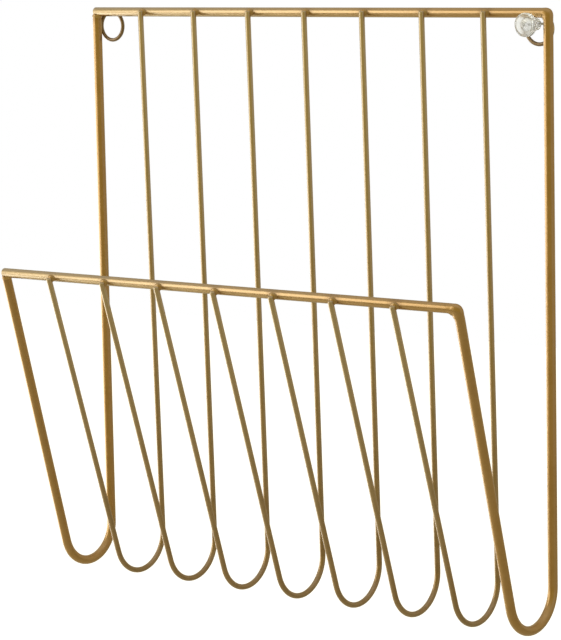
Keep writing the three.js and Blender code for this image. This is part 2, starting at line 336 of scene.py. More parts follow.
# %% The wire bender
class WireBender:
    """One round wire in a bmesh, made from its first cut end onwards."""

    def __init__(self, mesh, thickness, start, heading, sides):
        self.mesh = mesh
        self.thickness = thickness
        self.fed = 0.0
        self.place = Vector(start)
        self.heading = Vector(heading).normalized()
        self.first_heading = self.heading
        if not mesh.verts.layers.float.get("thin_lacquer_and_highlight"):
            mesh.verts.layers.float.new("thin_lacquer_and_highlight")
            mesh.verts.layers.float_vector.new("straight_wire")
        self.thin_lacquer_and_highlight = mesh.verts.layers.float["thin_lacquer_and_highlight"]
        self.on_straight_wire = mesh.verts.layers.float_vector["straight_wire"]
        self.facing = self.heading.to_track_quat("Z", "Y").to_matrix()
        facing = self.facing.to_4x4()
        made = bmesh.ops.create_circle(
            mesh, cap_ends=False, segments=sides, radius=thickness / 2,
            matrix=Matrix.Translation(self.place) @ facing,
        )
        for vert in made["verts"]:
            vert[self.on_straight_wire] = facing.inverted() @ (vert.co - self.place)
        self.rim = self.edges_between(made["verts"])
        self.first_rim = self.rim

    def edges_between(self, verts):
        """The edges that have both ends among these points, always in the same order."""
        self.mesh.verts.index_update()
        verts = set(verts)
        edges = {edge for vert in verts for edge in vert.link_edges if set(edge.verts) <= verts}
        return sorted(edges, key=lambda edge: sorted(vert.index for vert in edge.verts))

    def verts_of(self, rim):
        """The points of a rim, always in the same order."""
        return sorted({vert for edge in rim for vert in edge.verts}, key=lambda vert: vert.index)

    def push_on(self, verts, length):
        """Takes the new points as the rim, this much further along the straight wire."""
        for vert in verts:
            vert[self.on_straight_wire] = vert[self.on_straight_wire] + Vector((0, 0, length))
        self.rim = self.edges_between(verts)
        self.fed += length

    def feed(self, length):
        """Straight wire: the rim is extruded and moved on."""
        pushed = bmesh.ops.extrude_edge_only(self.mesh, edges=self.rim)["geom"]
        verts = [item for item in pushed if isinstance(item, bmesh.types.BMVert)]
        bmesh.ops.translate(self.mesh, verts=verts, vec=self.heading * length)
        self.push_on(verts, length)
        self.place += self.heading * length

    def bend(self, angle, radius, axis, steps):
        """A round bend: the rim is spun about the former's axis, a step at a time."""
        axis = Vector(axis).normalized()
        former = self.place + axis.cross(self.heading) * radius
        for _ in range(steps):
            spun = bmesh.ops.spin(
                self.mesh, geom=self.rim, cent=former, axis=axis,
                angle=angle / steps, steps=1, use_duplicate=False,
            )["geom_last"]
            verts = [item for item in spun if isinstance(item, bmesh.types.BMVert)]
            self.push_on(verts, radius * angle / steps)
        turn = Quaternion(axis, angle)
        self.place = former + turn @ (self.place - former)
        self.heading = turn @ self.heading
        self.facing = turn.to_matrix() @ self.facing

    def tight_bend(self, angle, radius, axis, steps, gathering, fullness):
        """A bend so tight that metal gathers inside it, pressed square so that it is fuller outside."""
        axis = Vector(axis).normalized()
        inside = self.facing.inverted() @ axis.cross(self.heading)
        inwards = Quaternion(axis, angle / 2) @ axis.cross(self.heading)
        for _ in range(steps):
            self.feed(gathering / steps)
        half_arc = radius * angle / 2
        middle = self.fed + half_arc
        self.bend(angle, radius, axis, steps)
        for _ in range(steps):
            self.feed(gathering / steps)
        thickest = gathering * (math.sqrt(2) - 1)
        # gathered is 1 in the bend and fades out along the legs. squared is 1 in the middle of the
        # bend and 0 at its ends. inner runs from 0 on the outer side to 1 on the inner side.
        for vert in self.mesh.verts:
            place = vert[self.on_straight_wire]
            from_middle = abs(place.z - middle)
            gathered = max(0, 1 - max(0, from_middle - half_arc) / gathering) ** 2
            squared = max(0, 1 - (from_middle / half_arc) ** 2) ** 1.5
            inner = 0.5 + place.xy.dot(inside.xy) / self.thickness
            vert.co += inwards * (thickest * gathered * inner - fullness * squared * (1 - inner))

    def close_ends(self):
        """Fills both rims with flat faces."""
        for rim in (self.first_rim, self.rim):
            bmesh.ops.contextual_create(self.mesh, geom=rim)

    def cope_ends(self, rail_radius):
        """Cuts both ends, which lie on the middles of two rails, back to the round of the rails."""
        ends = ((self.first_rim, self.first_heading, 1), (self.rim, self.heading, -1))
        for rim, heading, sign in ends:
            verts = self.verts_of(rim)
            middle = sum((vert.co for vert in verts), Vector()) / len(verts)
            across = ALONG.cross(heading)
            for vert in verts:
                back = math.sqrt(rail_radius ** 2 - (vert.co - middle).dot(across) ** 2)
                vert.co += heading * back * sign
                vert[self.on_straight_wire] = vert[self.on_straight_wire] + Vector((0, 0, back * sign))
        self.close_ends()

    def cut_ends(self, easing):
        """Closes both ends square and takes the sharpness off their edges, where the lacquer is thin and
        a paler colour paints a highlight.
        """
        self.close_ends()
        eased = bmesh.ops.bevel(
            self.mesh, geom=self.first_rim + self.rim, offset=easing, segments=3,
            profile=0.5, affect="EDGES", material=-1,
        )
        for vert in eased["verts"]:
            # The eased edges are marked for thin lacquer and for a painted highlight.
            vert[self.thin_lacquer_and_highlight] = 1.0


# %% From a bmesh to a piece that stands for its CAD node
SHARP_FROM = math.radians(40)


def make_piece(name, mesh, material, body, node):
    """Smooth shading but for sharp edges, normals outwards, and the piece rides on its body."""
    bmesh.ops.recalc_face_normals(mesh, faces=mesh.faces)
    open_edges = sum(1 for edge in mesh.edges if not edge.is_manifold)
    data = bpy.data.meshes.new(name)
    mesh.to_mesh(data)
    mesh.free()
    data.shade_smooth()
    data.set_sharp_from_angle(angle=SHARP_FROM)
    data.materials.append(material)
    piece = bpy.data.objects.new(name, data)
    bpy.context.scene.collection.objects.link(piece)
    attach(piece, body)
    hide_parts(node)
    low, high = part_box(node)
    own_low = Vector([min(v.co[i] for v in data.vertices) for i in range(3)])
    own_high = Vector([max(v.co[i] for v in data.vertices) for i in range(3)])
    off = max((own_low - low).length, (own_high - high).length)
    print(f"{name}: {len(data.polygons)} faces, {open_edges} open edges, {off / MM:.2f} mm off {node}")


# %% [markdown]
# ## The lacquered brass finish
# The wire is drawn steel with a brass-coloured coat and a clear lacquer over it. Close up it has fine
# lines along the wire, left by the drawing die. The lacquer is a little thicker in some places than in
# others, which makes faint warm and pale clouds, and its skin is slightly uneven. Near each weld the
# heat has browned it. At the cut edges it is thin, and their paler colour is also a painted highlight.
# The thin ribs look greyer than the thick wires. The rings are coloured darker and browner, as painted
# shade for the shade they lie in behind the frame. The welds are coloured paler, as a painted highlight
# on their nubs.
#
# One metal colour and one roughness would give a plastic gold. Each effect is a small node group, so
# that the wires, the welds and the pin's steel point can share it, each with its own numbers.

# %% Node groups: a frame to build them in
def new_group(name, inputs, outputs):
    """A shader node group with these sockets. Returns the group, its input node and its output node."""
    group = bpy.data.node_groups.new(name, "ShaderNodeTree")
    for direction, sockets in (("INPUT", inputs), ("OUTPUT", outputs)):
        for label, (kind, value) in sockets.items():
            socket = group.interface.new_socket(label, in_out=direction, socket_type=kind)
            if value is not None:
                socket.default_value = value
    print("node group", name, "takes", list(inputs), "and gives", list(outputs))
    return group, group.nodes.new("NodeGroupInput"), group.nodes.new("NodeGroupOutput")


VECTOR = ("NodeSocketVector", None)
MASK = ("NodeSocketFloat", None)
TINT = ("NodeSocketColor", None)


def add_group(tree, group, inputs):
    """Places a group in a material and fills or links its inputs."""
    return add_node(tree, "ShaderNodeGroup", inputs, node_tree=group)


def add_math(tree, operation, first, second=0.0, third=0.0):
    """One sum, product or other operation. Returns its output."""
    node = add_node(tree, "ShaderNodeMath", {0: first, 1: second, 2: third}, operation=operation)
    return node.outputs[0]


# %% The lines that the drawing die leaves
WIRE_LINES = 4000.0
LINE_SHORTENING = 0.012

drawn_lines, enters, leaves = new_group(
    "drawn_lines",
    {"On straight wire": VECTOR, "Lines per metre": ("NodeSocketFloat", WIRE_LINES)},
    {"Lines": MASK},
)
tree = drawn_lines
stretched = add_node(tree, "ShaderNodeVectorMath", {
    0: enters.outputs["On straight wire"], 1: (1, 1, LINE_SHORTENING),
}, operation="MULTIPLY").outputs[0]
lines = add_node(tree, "ShaderNodeTexNoise", {
    "Vector": stretched, "Scale": enters.outputs["Lines per metre"], "Detail": 2.0, "Roughness": 0.6,
})
tree.links.new(lines.outputs[0], leaves.inputs["Lines"])

# %% Clouds in the lacquer, and its uneven skin
WIDE_CLOUDS = 70.0
SMALL_CLOUDS = 520.0
SMALL_CLOUD_SHARE = 0.45
CLOUD_EDGES = (0.36, 0.64)
PEEL = 1500.0
NIBS = 420.0
NIB_SLOPE = (0.10, 0.02)
NIB_HEIGHT = 0.8

lacquer, enters, leaves = new_group(
    "lacquer",
    {
        "Place": VECTOR,
        "Pale": ("NodeSocketColor", (0.8, 0.6, 0.3, 1)),
        "Deep": ("NodeSocketColor", (0.5, 0.3, 0.1, 1)),
    },
    {"Colour": TINT, "Thickness": MASK, "Skin": MASK},
)
tree = lacquer
place = enters.outputs["Place"]
wide_clouds = add_node(tree, "ShaderNodeTexNoise", {
    "Vector": place, "Scale": WIDE_CLOUDS, "Detail": 1.0,
})
small_clouds = add_node(tree, "ShaderNodeTexNoise", {
    "Vector": place, "Scale": SMALL_CLOUDS, "Detail": 3.0,
})
thickness = add_math(tree, "MULTIPLY", small_clouds.outputs[0], SMALL_CLOUD_SHARE)
thickness = add_math(tree, "MULTIPLY_ADD", wide_clouds.outputs[0], 1 - SMALL_CLOUD_SHARE, thickness)
thickness = add_ramp(tree, thickness, *CLOUD_EDGES)
tree.links.new(thickness, leaves.inputs["Thickness"])
colour = add_mix(tree, thickness, enters.outputs["Pale"], enters.outputs["Deep"])
tree.links.new(colour, leaves.inputs["Colour"])
peel = add_node(tree, "ShaderNodeTexNoise", {"Vector": place, "Scale": PEEL, "Detail": 1.0})
nibs = add_node(tree, "ShaderNodeTexVoronoi", {"Vector": place, "Scale": NIBS})
nib = add_ramp(tree, nibs.outputs["Distance"], *NIB_SLOPE)
skin = add_math(tree, "MULTIPLY_ADD", nib, NIB_HEIGHT, peel.outputs[0])
tree.links.new(skin, leaves.inputs["Skin"])

# %% Where the heat of the welds has browned the lacquer
HEAT_REACHES = (6.0 * MM, 1.5 * MM)
LAST_WELD_ENDS = (134 * MM, 128 * MM)

weld_heat, enters, leaves = new_group("weld_heat", {"Place": VECTOR}, {"Browned": MASK})
tree = weld_heat
parts = add_node(tree, "ShaderNodeSeparateXYZ", {0: enters.outputs["Place"]})
# The ribs stand at whole pitches from the middle, and ping-pong gives the distance to the nearest.
# The corners are about one pitch further out: the left one is welded, and the right one is not.
from_rib = add_math(tree, "PINGPONG", parts.outputs["X"], RIB_PITCH / 2)
rail_distances = []
for rail in (back_rail, front_rail):
    across = add_math(tree, "SUBTRACT", parts.outputs["Y"], rail.x)
    up = add_math(tree, "SUBTRACT", parts.outputs["Z"], rail.y)
    across = add_math(tree, "POWER", across, 2.0)
    rail_distances.append(add_math(tree, "SQRT", add_math(tree, "MULTIPLY_ADD", up, up, across)))
from_rail = add_math(tree, "MINIMUM", *rail_distances)
from_rail = add_math(tree, "SUBTRACT", from_rail, FRAME_WIRE / 2)
squared = add_math(tree, "MULTIPLY", from_rib, from_rib)
from_weld = add_math(tree, "SQRT", add_math(tree, "MULTIPLY_ADD", from_rail, from_rail, squared))
browned = add_ramp(tree, from_weld, *HEAT_REACHES)
welded_part = add_ramp(tree, parts.outputs["X"], *LAST_WELD_ENDS)
tree.links.new(add_math(tree, "MULTIPLY", browned, welded_part), leaves.inputs["Browned"])


# %% The finish of wires and welds
BROWNED = (0.34, 0.17, 0.05, 1)
BROWNING = 0.45
# At the cut edges the lacquer is thin, and the paler colour there is also a painted highlight on the rib
# tips.
BARE_EDGE_HIGHLIGHT = (0.84, 0.70, 0.44, 1)
EDGE_WEAR_AND_HIGHLIGHT = 0.6
ROUGHER_ON_LINES = 0.06
ROUGHER_BY_HEAT = 0.08
CLEAR_LACQUER = 0.85
CLEAR_LACQUER_ROUGHNESS = 0.14
LINE_DEPTH = 0.02 * MM
SKIN_DEPTH = 0.03 * MM


def brass_finish(name, pale, deep, roughness_range, line_strength, skin_strength):
    """Brass-coloured metal under lacquer: clouds, drawn lines, uneven skin, browning, and thin cut edges
    whose paler colour is also a painted highlight.
    """
    material = bpy.data.materials.new(name)
    material.use_nodes = True
    tree = material.node_tree
    shader = tree.nodes["Principled BSDF"]
    place = add_node(tree, "ShaderNodeTexCoord").outputs["Object"]
    on_wire = add_node(tree, "ShaderNodeAttribute", attribute_name="straight_wire").outputs["Vector"]
    bare_edge_and_highlight = add_node(tree, "ShaderNodeAttribute", attribute_name="thin_lacquer_and_highlight").outputs["Fac"]
    coat = add_group(tree, lacquer, {"Place": place, "Pale": pale, "Deep": deep})
    heat = add_group(tree, weld_heat, {"Place": place})
    die = add_group(tree, drawn_lines, {"On straight wire": on_wire})
    browning = add_math(tree, "MULTIPLY", heat.outputs[0], BROWNING)
    colour = add_mix(tree, browning, coat.outputs["Colour"], BROWNED)
    # Paler at the eased cut edges: thin lacquer, and a painted highlight.
    colour = add_mix(tree, add_math(tree, "MULTIPLY", bare_edge_and_highlight, EDGE_WEAR_AND_HIGHLIGHT), colour, BARE_EDGE_HIGHLIGHT)
    tree.links.new(colour, shader.inputs["Base Color"])
    smooth, rough = roughness_range
    varied = add_math(tree, "MULTIPLY_ADD", coat.outputs["Thickness"], smooth - rough, rough)
    varied = add_math(tree, "MULTIPLY_ADD", die.outputs[0], ROUGHER_ON_LINES, varied)
    varied = add_math(tree, "MULTIPLY_ADD", heat.outputs[0], ROUGHER_BY_HEAT, varied)
    tree.links.new(varied, shader.inputs["Roughness"])
    shader.inputs["Metallic"].default_value = 1.0
    shader.inputs["Coat Weight"].default_value = CLEAR_LACQUER
    shader.inputs["Coat Roughness"].default_value = CLEAR_LACQUER_ROUGHNESS
    drawn = add_node(tree, "ShaderNodeBump", {
        "Height": die.outputs[0], "Strength": line_strength, "Distance": LINE_DEPTH,
    })
    uneven = add_node(tree, "ShaderNodeBump", {
        "Height": coat.outputs["Skin"], "Strength": skin_strength, "Distance": SKIN_DEPTH,
        "Normal": drawn.outputs[0],
    })
    tree.links.new(uneven.outputs[0], shader.inputs["Normal"])
    print("finish", name, "has", len(tree.nodes), "nodes")
    return material


thick_brass = brass_finish(
    "lacquered_brass_wire", pale=(0.64, 0.40, 0.155, 1), deep=(0.59, 0.36, 0.125, 1),
    roughness_range=(0.26, 0.31), line_strength=0.4, skin_strength=0.3,
)
thin_brass = brass_finish(
    "lacquered_thin_wire", pale=(0.51, 0.355, 0.185, 1), deep=(0.44, 0.30, 0.145, 1),
    roughness_range=(0.28, 0.34), line_strength=0.4, skin_strength=0.3,
)
# The rings' darker, browner colours are painted shade, standing in for the shade they lie in behind the
# frame.
ring_brass_painted_shade = brass_finish(
    "ring_wire_painted_shade", pale=(0.40, 0.28, 0.15, 1), deep=(0.30, 0.20, 0.10, 1),
    roughness_range=(0.32, 0.40), line_strength=0.4, skin_strength=0.3,
)
# The welds' paler, yellower colours are a painted highlight, standing in for the light that their nubs
# catch.
weld_brass_painted_highlight = brass_finish(
    "lacquered_weld_painted_highlight", pale=(0.86, 0.62, 0.27, 1), deep=(0.74, 0.50, 0.19, 1),
    roughness_range=(0.34, 0.42), line_strength=0.0, skin_strength=0.5,
)

# %% [markdown]
# ## The frame wire
# One 5 mm wire is the back rail, the whole right side and the front rail. It turns sharply at the two
# right corners and softly at the foot. Making the three parts apart would leave seams in the corners,
# where the real one has none, so the bender makes it in one go.
#
# In a corner as tight as this one, metal gathers on the inner side, and the press leaves the outer side
# a little square. A plain bend would look like a soft hose there. The front corner has gathered more
# metal than the back one, and the back one is pressed harder.

# %% Bend the frame wire
WIRE_SIDES = 28
FOOT_STEPS = 36
CORNER_STEPS = 12
CUT_EASING = 0.35 * MM
QUARTER = math.pi / 2

back_run = CORNER_RADIUS + BACK_GATHERING
front_run = CORNER_RADIUS + FRONT_GATHERING
back_corner_axis = ALONG.cross(side_j["down"])
front_corner_axis = side_j["up"].cross(-ALONG)
mesh = bmesh.new()
wire = WireBender(mesh, FRAME_WIRE, (rail_left_end, frame_y, rail_z), ALONG, WIRE_SIDES)
wire.feed(side_x - back_run - rail_left_end)
wire.tight_bend(
    QUARTER, CORNER_RADIUS, back_corner_axis, CORNER_STEPS, BACK_GATHERING, BACK_FULLNESS,
)
wire.feed(side_j["back_leg"] - back_run)
wire.bend(side_j["turn"], BEND_RADIUS, -ALONG, FOOT_STEPS)
wire.feed(side_j["front_leg"] - front_run)
wire.tight_bend(
    QUARTER, CORNER_RADIUS, front_corner_axis, CORNER_STEPS, FRONT_GATHERING, FRONT_FULLNESS,
)
wire.feed(side_x - front_run - rail_left_end)
wire.cut_ends(CUT_EASING)
make_piece("bent_frame_wire", mesh, thick_brass, "rack", "frame_wire")

# %% [markdown]
# ## The left side wire and the ribs
# At the left the rails are cut off square, and a separate side wire butts on them from below. Its ends
# are coped, which means cut to the round of the rails, so that the joint is tight. The seven ribs are
# thinner wires, lapped on the front of both rails, with their ends just past the rails' middles. All
# are the same J, so one function bends it, and each rib is bent on its own, as a piece on its own.

# %% Bend the side wire and the ribs
def bend_j(thickness, j, x, rise):
    """A J of wire at x. Its ends are this far past the middles of the rails, and still open."""
    top = j["back_top"] - j["down"] * rise + ALONG * x
    wire = WireBender(bmesh.new(), thickness, top, j["down"], WIRE_SIDES)
    wire.feed(j["back_leg"] + rise)
    wire.bend(j["turn"], j["radius"], -ALONG, FOOT_STEPS)
    wire.feed(j["front_leg"] + rise)
    return wire


wire = bend_j(FRAME_WIRE, side_j, -side_x, 0)
wire.cope_ends(FRAME_WIRE / 2 + SEAT_GAP)
make_piece("bent_side_wire", wire.mesh, thick_brass, "rack", "left_side_wire")

RIB_EASING = 0.55 * MM
rib_places = [(i - (RIB_COUNT - 1) / 2) * RIB_PITCH for i in range(RIB_COUNT)]
for number, x in enumerate(rib_places, 1):
    wire = bend_j(RIB_WIRE, rib_j, x, RIB_TIP_RISE)
    wire.cut_ends(RIB_EASING)
    make_piece(f"bent_rib_{number}", wire.mesh, thin_brass, "rack", f"rib_wire_{number}")

# %% [markdown]
# ## The hanging rings
# Behind each upper corner sits a ring of 2 mm wire. A torus would do, but the real ring is a length of
# wire bent round until its ends meet, and the joint lies behind the rail, where the weld closes it. So
# it comes from the same bender: one bend of almost a full turn.

# %% Bend the rings
RING_SIDES = 20
RING_STEPS = 72
RING_JOINT = math.radians(1.2)
RING_EASING = 0.1 * MM


def bend_ring(x):
    """A ring round the Y axis at x, whose two cut ends meet at its top."""
    opening = Quaternion(INTO_WALL, RING_JOINT / 2)
    top = Vector((x, ring_y, 0)) + opening @ Vector((0, 0, RING_RADIUS))
    wire = WireBender(bmesh.new(), RING_WIRE, top, opening @ ALONG, RING_SIDES)
    wire.bend(2 * math.pi - RING_JOINT, RING_RADIUS, INTO_WALL, RING_STEPS)
    wire.cut_ends(RING_EASING)
    return wire.mesh


for side, x in (("left", -ring_x), ("right", ring_x)):
    make_piece(
        f"bent_ring_{side}", bend_ring(x), ring_brass_painted_shade, "rack", f"hanging_ring_{side}",
    )

# %% [markdown]
# ## The welds
# Where two wires cross, the welder has melted them together, and the metal has flowed into the corner
# between them. A ball stuck on the joint looks like a pea, because it meets the wires at a hard line.
#
# So each weld is modelled as it forms. Slightly thin cores of the wires and a small puddle are melted
# into one skin by a voxel remesh, the skin is smoothed until the corners fill, and then the wires
# themselves are cut out of it. What is left is the little saddle of metal that stands proud.

# %% Melt, smooth and trim
CORE_INSET = 0.10 * MM
TRIM_INSET = 0.03 * MM
SLIVER = 0.01 * MM


def evaluated(piece):
    """The object's mesh with its modifiers applied, as a bmesh. The object itself is removed."""
    bpy.context.view_layer.update()
    graph = bpy.context.evaluated_depsgraph_get()
    data = bpy.data.meshes.new_from_object(piece.evaluated_get(graph))
    mesh = bmesh.new()
    mesh.from_mesh(data)
    old = piece.data
    bpy.data.objects.remove(piece)
    bpy.data.meshes.remove(old)
    bpy.data.meshes.remove(data)
    return mesh


def workpiece(name, mesh):
    """A passing object that only carries a modifier."""
    bmesh.ops.recalc_face_normals(mesh, faces=mesh.faces)
    data = bpy.data.meshes.new(name)
    mesh.to_mesh(data)
    mesh.free()
    piece = bpy.data.objects.new(name, data)
    bpy.context.scene.collection.objects.link(piece)
    return piece


def melt_weld(cores, cutters, grain, passes, cutters_cross=False):
    """Melts the cores into one smooth skin and trims it by the cutters, which may cross each other."""
    molten = workpiece("molten", cores)
    remesh = molten.modifiers.new("melt", "REMESH")
    remesh.mode = "VOXEL"
    remesh.voxel_size = grain
    skin = evaluated(molten)
    for _ in range(passes):
        bmesh.ops.smooth_vert(
            skin, verts=skin.verts, factor=0.5, use_axis_x=True, use_axis_y=True, use_axis_z=True,
        )
    bead = workpiece("bead", skin)
    tool = workpiece("tool", cutters)
    trim = bead.modifiers.new("trim", "BOOLEAN")
    trim.operation = "DIFFERENCE"
    trim.solver = "EXACT"
    trim.use_self = cutters_cross
    trim.object = tool
    mesh = evaluated(bead)
    tool_data = tool.data
    bpy.data.objects.remove(tool)
    bpy.data.meshes.remove(tool_data)
    bmesh.ops.remove_doubles(mesh, verts=mesh.verts, dist=SLIVER)
    bmesh.ops.dissolve_degenerate(mesh, dist=SLIVER, edges=mesh.edges)
    return mesh


def add_puddle(mesh, middle, half_sizes, tilt):
    """An egg of molten metal, turned about the X axis."""
    place = Matrix.Translation(middle) @ Matrix.Rotation(tilt, 4, "X")
    bmesh.ops.create_icosphere(
        mesh, subdivisions=4, radius=1.0, matrix=place @ Matrix.Diagonal((*half_sizes, 1)),
    )


def add_wire(mesh, thickness, start, end, easing=0):
    """A straight stretch of wire with closed ends, which may be eased like a cut end."""
    wire = WireBender(mesh, thickness, start, end - start, WIRE_SIDES)
    wire.feed((end - start).length)
    if easing:
        wire.cut_ends(easing)
    else:
        wire.close_ends()


# %% The welds of the ribs
REACH = 7 * MM
RIB_PUDDLE = Vector((2.4, 1.3, 2.1)) * MM
RIB_PUDDLE_RISE = 0.1 * MM
RIB_WELD_GRAIN = 0.12 * MM
SMOOTHINGS = 24


def rib_weld(rail, leg_point, up):
    """The weld of a rib at x = 0 on a rail. The rib's leg passes the rail at leg_point."""
    rail = Vector((0, rail.x, rail.y))
    outward = (leg_point - rail).normalized()
    contact = rail + outward * (FRAME_WIRE + SEAT_GAP) / 2
    tip = leg_point + up * (RIB_TIP_RISE - CORE_INSET)
    cores = bmesh.new()
    add_wire(cores, FRAME_WIRE - 2 * CORE_INSET, rail - ALONG * REACH, rail + ALONG * REACH)
    add_wire(cores, RIB_WIRE - 2 * CORE_INSET, leg_point - up * REACH, tip, RIB_EASING)
    tilt = math.atan2(-up.y, up.z)
    add_puddle(cores, contact + up * RIB_PUDDLE_RISE, RIB_PUDDLE, tilt)
    cutters = bmesh.new()
    far = REACH * 1.5
    add_wire(cutters, FRAME_WIRE - 2 * TRIM_INSET, rail - ALONG * far, rail + ALONG * far)
    rib_end = leg_point + up * (RIB_TIP_RISE - TRIM_INSET)
    add_wire(cutters, RIB_WIRE - 2 * TRIM_INSET, leg_point - up * far, rib_end, RIB_EASING)
    return melt_weld(cores, cutters, RIB_WELD_GRAIN, SMOOTHINGS)


def place_copy(mesh, x):
    """A copy of a bead, moved along the rail."""
    copy = mesh.copy()
    bmesh.ops.translate(copy, verts=copy.verts, vec=ALONG * x)
    return copy


for rail_name, rail, leg_point, up in (
    ("back", back_rail, rib_j["back_top"], -rib_j["down"]),
    ("front", front_rail, rib_j["front_tip"], rib_j["up"]),
):
    bead = rib_weld(rail, leg_point, up)
    for number, x in enumerate(rib_places, 1):
        make_piece(
            f"rib_weld_{rail_name}_{number}", place_copy(bead, x), weld_brass_painted_highlight,
            "rack", f"weld_{rail_name}_{number}",
        )
    bead.free()


# %% The welds of the left corners
CORNER_PUDDLE = Vector((2.9, 2.75, 1.4)) * MM
CORNER_WELD_GRAIN = 0.17 * MM


def corner_weld(rail, up):
    """The weld round an end of the left side wire, under the rail on which it butts."""
    end = Vector((rail_left_end, rail.x, rail.y))
    top = Vector((-side_x, rail.x, rail.y))
    cores = bmesh.new()
    add_wire(cores, FRAME_WIRE - 2 * CORE_INSET, end + ALONG * CORE_INSET, end + ALONG * 2 * REACH)
    add_wire(cores, FRAME_WIRE - 2 * CORE_INSET, top, top - up * REACH)
    tilt = math.atan2(-up.y, up.z)
    add_puddle(cores, top - up * FRAME_WIRE / 2, CORNER_PUDDLE, tilt)
    cutters = bmesh.new()
    add_wire(cutters, FRAME_WIRE - 2 * TRIM_INSET, end, end + ALONG * 3 * REACH)
    add_wire(cutters, FRAME_WIRE - 2 * TRIM_INSET, top + up * FRAME_WIRE / 2, top - up * 2 * REACH)
    return melt_weld(cores, cutters, CORNER_WELD_GRAIN, SMOOTHINGS, cutters_cross=True)


for rail_name, rail, up in (
    ("back", back_rail, -side_j["down"]),
    ("front", front_rail, side_j["up"]),
):
    make_piece(
        f"corner_weld_{rail_name}", corner_weld(rail, up), weld_brass_painted_highlight,
        "rack", f"weld_corner_{rail_name}",
    )


# %% The welds of the rings
RING_GROOVE = 0.7 * MM
RING_PUDDLE = Vector((2.3, 0.95, 0.95)) * MM
RING_WELD_GRAIN = 0.14 * MM
RING_SMOOTHINGS = 12
RING_CORE_ARC = math.radians(45)
RING_TRIM_ARC = math.radians(75)


def ring_weld():
    """The weld between a ring at the origin and the rail in front of its top, in the upper groove."""
    rail = Vector((0, frame_y, rail_z))
    groove = rail + INTO_WALL * (FRAME_WIRE + SEAT_GAP) / 2 + Vector((0, 0, RING_GROOVE))
    middle = Vector((0, ring_y, 0))
    cores = bmesh.new()
    cutters = bmesh.new()
    for mesh, inset, reach, half_arc in (
        (cores, CORE_INSET, REACH, RING_CORE_ARC),
        (cutters, TRIM_INSET, REACH * 1.5, RING_TRIM_ARC),
    ):
        add_wire(mesh, FRAME_WIRE - 2 * inset, rail - ALONG * reach, rail + ALONG * reach)
        back = Quaternion(INTO_WALL, -half_arc)
        start = middle + back @ Vector((0, 0, RING_RADIUS))
        wire = WireBender(mesh, RING_WIRE - 2 * inset, start, back @ ALONG, RING_SIDES)
        wire.bend(2 * half_arc, RING_RADIUS, INTO_WALL, RING_STEPS // 3)
        wire.close_ends()
    add_puddle(cores, groove, RING_PUDDLE, 0)
    return melt_weld(cores, cutters, RING_WELD_GRAIN, RING_SMOOTHINGS)


ring_bead = ring_weld()
for side, sign in (("left", -1), ("right", 1)):
    for place_name, turn in (("rail", 0), ("side", sign * QUARTER)):
        bead = ring_bead.copy()
        bmesh.ops.rotate(bead, verts=bead.verts, cent=(0, 0, 0), matrix=Matrix.Rotation(turn, 3, "Y"))
        bmesh.ops.translate(bead, verts=bead.verts, vec=ALONG * sign * ring_x)
        make_piece(
            f"ring_weld_{side}_{place_name}", bead, weld_brass_painted_highlight,
            "rack", f"weld_ring_{side}_{place_name}",
        )
ring_bead.free()

# %% [markdown]
# ## The wall pin
# A pin goes through the right ring, and the back rail rests on its shank. It is clear plastic, moulded
# round a steel point. The head is a thick disc with rounded edges and a small dimple in front, where
# the plastic entered the mould. A clear piece shows its inside, so the shank, the dimple and the steel
# matter more than the outline: they bend the light into the grey arcs round the pale middle.
#
# The disc is turned: half of its section is spun about the axis, and the edges are rounded after that.
# The steel sits a hair deeper than the hole for it, so that no film of air shows between the two. The
# plastic is slightly milky, so a little of it is matt, and the rest lets light through unevenly.

# %% Sizes of the pin
PIN_INSET = 2.3 * MM
PIN_HEAD = 12 * MM
PIN_HEAD_THICKNESS = 3.5 * MM
PIN_HEAD_GAP = 0.5 * MM
PIN_SHANK = 6 * MM
PIN_PLAY = 0.25 * MM
SPIKE = 1.2 * MM
SPIKE_GRIP = 7 * MM
SPIKE_REACH = 10 * MM
SPIKE_POINT = 2.5 * MM

pin_axis = Vector((
    ring_x - PIN_INSET,
    0,
    rail_z - FRAME_WIRE / 2 - PIN_PLAY - PIN_SHANK / 2,
))
head_back = frame_y - FRAME_WIRE / 2 - PIN_HEAD_GAP
head_front = head_back - PIN_HEAD_THICKNESS

print("pin axis at x, z =", [round(value / MM, 2) for value in pin_axis.xz], "mm")
print("head from y =", round(head_front / MM, 2), "to", round(head_back / MM, 2), "mm")

# %% Clear plastic, with the haze and flow of a moulding
FLOW = 260.0
FLOW_DEPTH = 0.05 * MM
SCUFFS = 2400.0
SCUFF_EDGES = (0.55, 0.75)
MILKINESS = 0.31
SCUFF_HAZE = 0.10

moulding, enters, leaves = new_group(
    "moulding", {"Place": VECTOR}, {"Tint": TINT, "Haze": MASK, "Flow": MASK},
)
tree = moulding
flow = add_node(tree, "ShaderNodeTexNoise", {
    "Vector": enters.outputs["Place"], "Scale": FLOW, "Detail": 2.0, "Distortion": 0.8,
})
scuffs = add_node(tree, "ShaderNodeTexNoise", {"Vector": enters.outputs["Place"], "Scale": SCUFFS})
tint = add_mix(tree, flow.outputs[0], (0.90, 0.92, 0.87, 1), (0.97, 0.97, 0.94, 1))
tree.links.new(tint, leaves.inputs["Tint"])
tree.links.new(add_ramp(tree, scuffs.outputs[0], *SCUFF_EDGES), leaves.inputs["Haze"])
tree.links.new(flow.outputs[0], leaves.inputs["Flow"])

